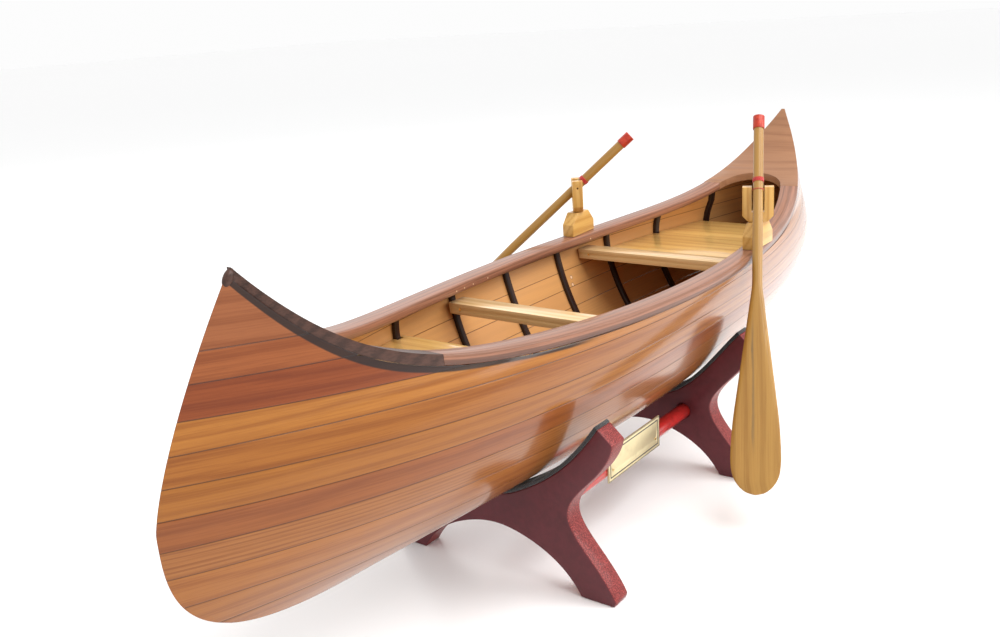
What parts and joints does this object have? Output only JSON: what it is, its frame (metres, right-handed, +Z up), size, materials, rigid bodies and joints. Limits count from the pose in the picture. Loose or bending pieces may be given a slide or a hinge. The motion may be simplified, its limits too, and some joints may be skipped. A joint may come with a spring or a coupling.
{
  "type": "display model canoe on stand",
  "caption": "Strip-planked wooden display canoe with short decks, thwarts and swivelling oars, resting in a two-board cradle stand joined by round rods.",
  "frame": {"origin": "on the surface the stand rests on, below the middle of the hull's length, in the hull's middle plane", "axes": "+X from the bow to the stern, +Y to starboard, +Z up"},
  "size_m": [0.6094, 0.277, 0.2091],
  "materials": {
    "plank_orange": "gloss varnish",
    "plank_reddish": "gloss varnish",
    "plank_dark": "gloss varnish",
    "plank_golden": "gloss varnish",
    "plank_pinkish": "gloss varnish",
    "rail_mahogany": "satin varnish",
    "deck_walnut": "satin varnish",
    "deck_brown": "satin varnish",
    "rib_dark": "satin varnish",
    "pine": "satin varnish",
    "platform_tan": "satin varnish",
    "red_paint": "gloss paint",
    "red_thread": "matte thread",
    "stand_burgundy": "satin stain",
    "stand_red": "gloss stain",
    "black_felt": "matte felt",
    "pin_brass": "polished",
    "plate_brass": "satin"
  },
  "bodies": {
    "stand": {"front_cradle": "stand_burgundy", "rear_cradle": "stand_burgundy", "front_cradle_felt": "black_felt", "rear_cradle_felt": "black_felt", "port_stretcher_rod": "stand_red", "starboard_stretcher_rod": "stand_red", "nameplate": "plate_brass", "nameplate_pins": "pin_brass"},
    "hull": {"starboard_plank_01": "plank_orange", "starboard_plank_02": "plank_reddish", "starboard_plank_03": "plank_dark", "starboard_plank_04": "plank_golden", "starboard_plank_05": "plank_golden", "starboard_plank_06": "plank_golden", "starboard_plank_07": "plank_pinkish", "starboard_plank_08": "plank_golden", "starboard_plank_09": "plank_golden", "starboard_plank_10": "plank_golden", "starboard_plank_11": "plank_golden", "port_plank_01": "plank_orange", "port_plank_02": "plank_reddish", "port_plank_03": "plank_dark", "port_plank_04": "plank_golden", "port_plank_05": "plank_golden", "port_plank_06": "plank_golden", "port_plank_07": "plank_pinkish", "port_plank_08": "plank_golden", "port_plank_09": "plank_golden", "port_plank_10": "plank_golden", "port_plank_11": "plank_golden", "rib_1": "rib_dark", "rib_2": "rib_dark", "rib_3": "rib_dark", "rib_4": "rib_dark", "rib_5": "rib_dark", "rib_6": "rib_dark", "rib_7": "rib_dark", "rib_8": "rib_dark", "starboard_rail": "rail_mahogany", "port_rail": "rail_mahogany", "bow_deck": "deck_walnut", "stern_deck": "deck_brown", "front_thwart": "pine", "rear_thwart": "pine", "thwart_pins": "pin_brass", "bow_platform": "platform_tan", "stern_platform": "platform_tan", "starboard_oarlock_block": "pine", "port_oarlock_block": "pine"},
    "starboard_fork": {"starboard_oarlock_fork": "pine"},
    "starboard_oar": {"starboard_oar": "pine", "starboard_oar_grip": "red_paint", "starboard_oar_lashing": "red_thread"},
    "port_fork": {"port_oarlock_fork": "pine"},
    "port_oar": {"port_oar": "pine", "port_oar_grip": "red_paint", "port_oar_lashing": "red_thread"}
  },
  "joints": [
    {"name": "canoe_lift", "type": "slide", "parent": "stand", "child": "hull", "axis": [0, 0, 1], "range_m": [0, 0.06]},
    {"name": "starboard_oarlock_swivel", "type": "hinge", "parent": "hull", "child": "starboard_fork", "pos_m": [0.066, 0.0599, 0.1497], "axis": [0, 0, -1], "range_deg": [-32, 20]},
    {"name": "starboard_oar_pitch", "type": "hinge", "parent": "starboard_fork", "child": "starboard_oar", "pos_m": [0.066, 0.0599, 0.1655], "axis": [0.8192, 0.5736, 0], "range_deg": [-12, 20]},
    {"name": "port_oarlock_swivel", "type": "hinge", "parent": "hull", "child": "port_fork", "pos_m": [0.072, -0.0592, 0.1497], "axis": [0, 0, 1], "range_deg": [0, 50]},
    {"name": "port_oar_pitch", "type": "hinge", "parent": "port_fork", "child": "port_oar", "pos_m": [0.06831, -0.06075, 0.1687], "axis": [-0.3859, 0.9225, 0], "range_deg": [0, 35]}
  ]
}
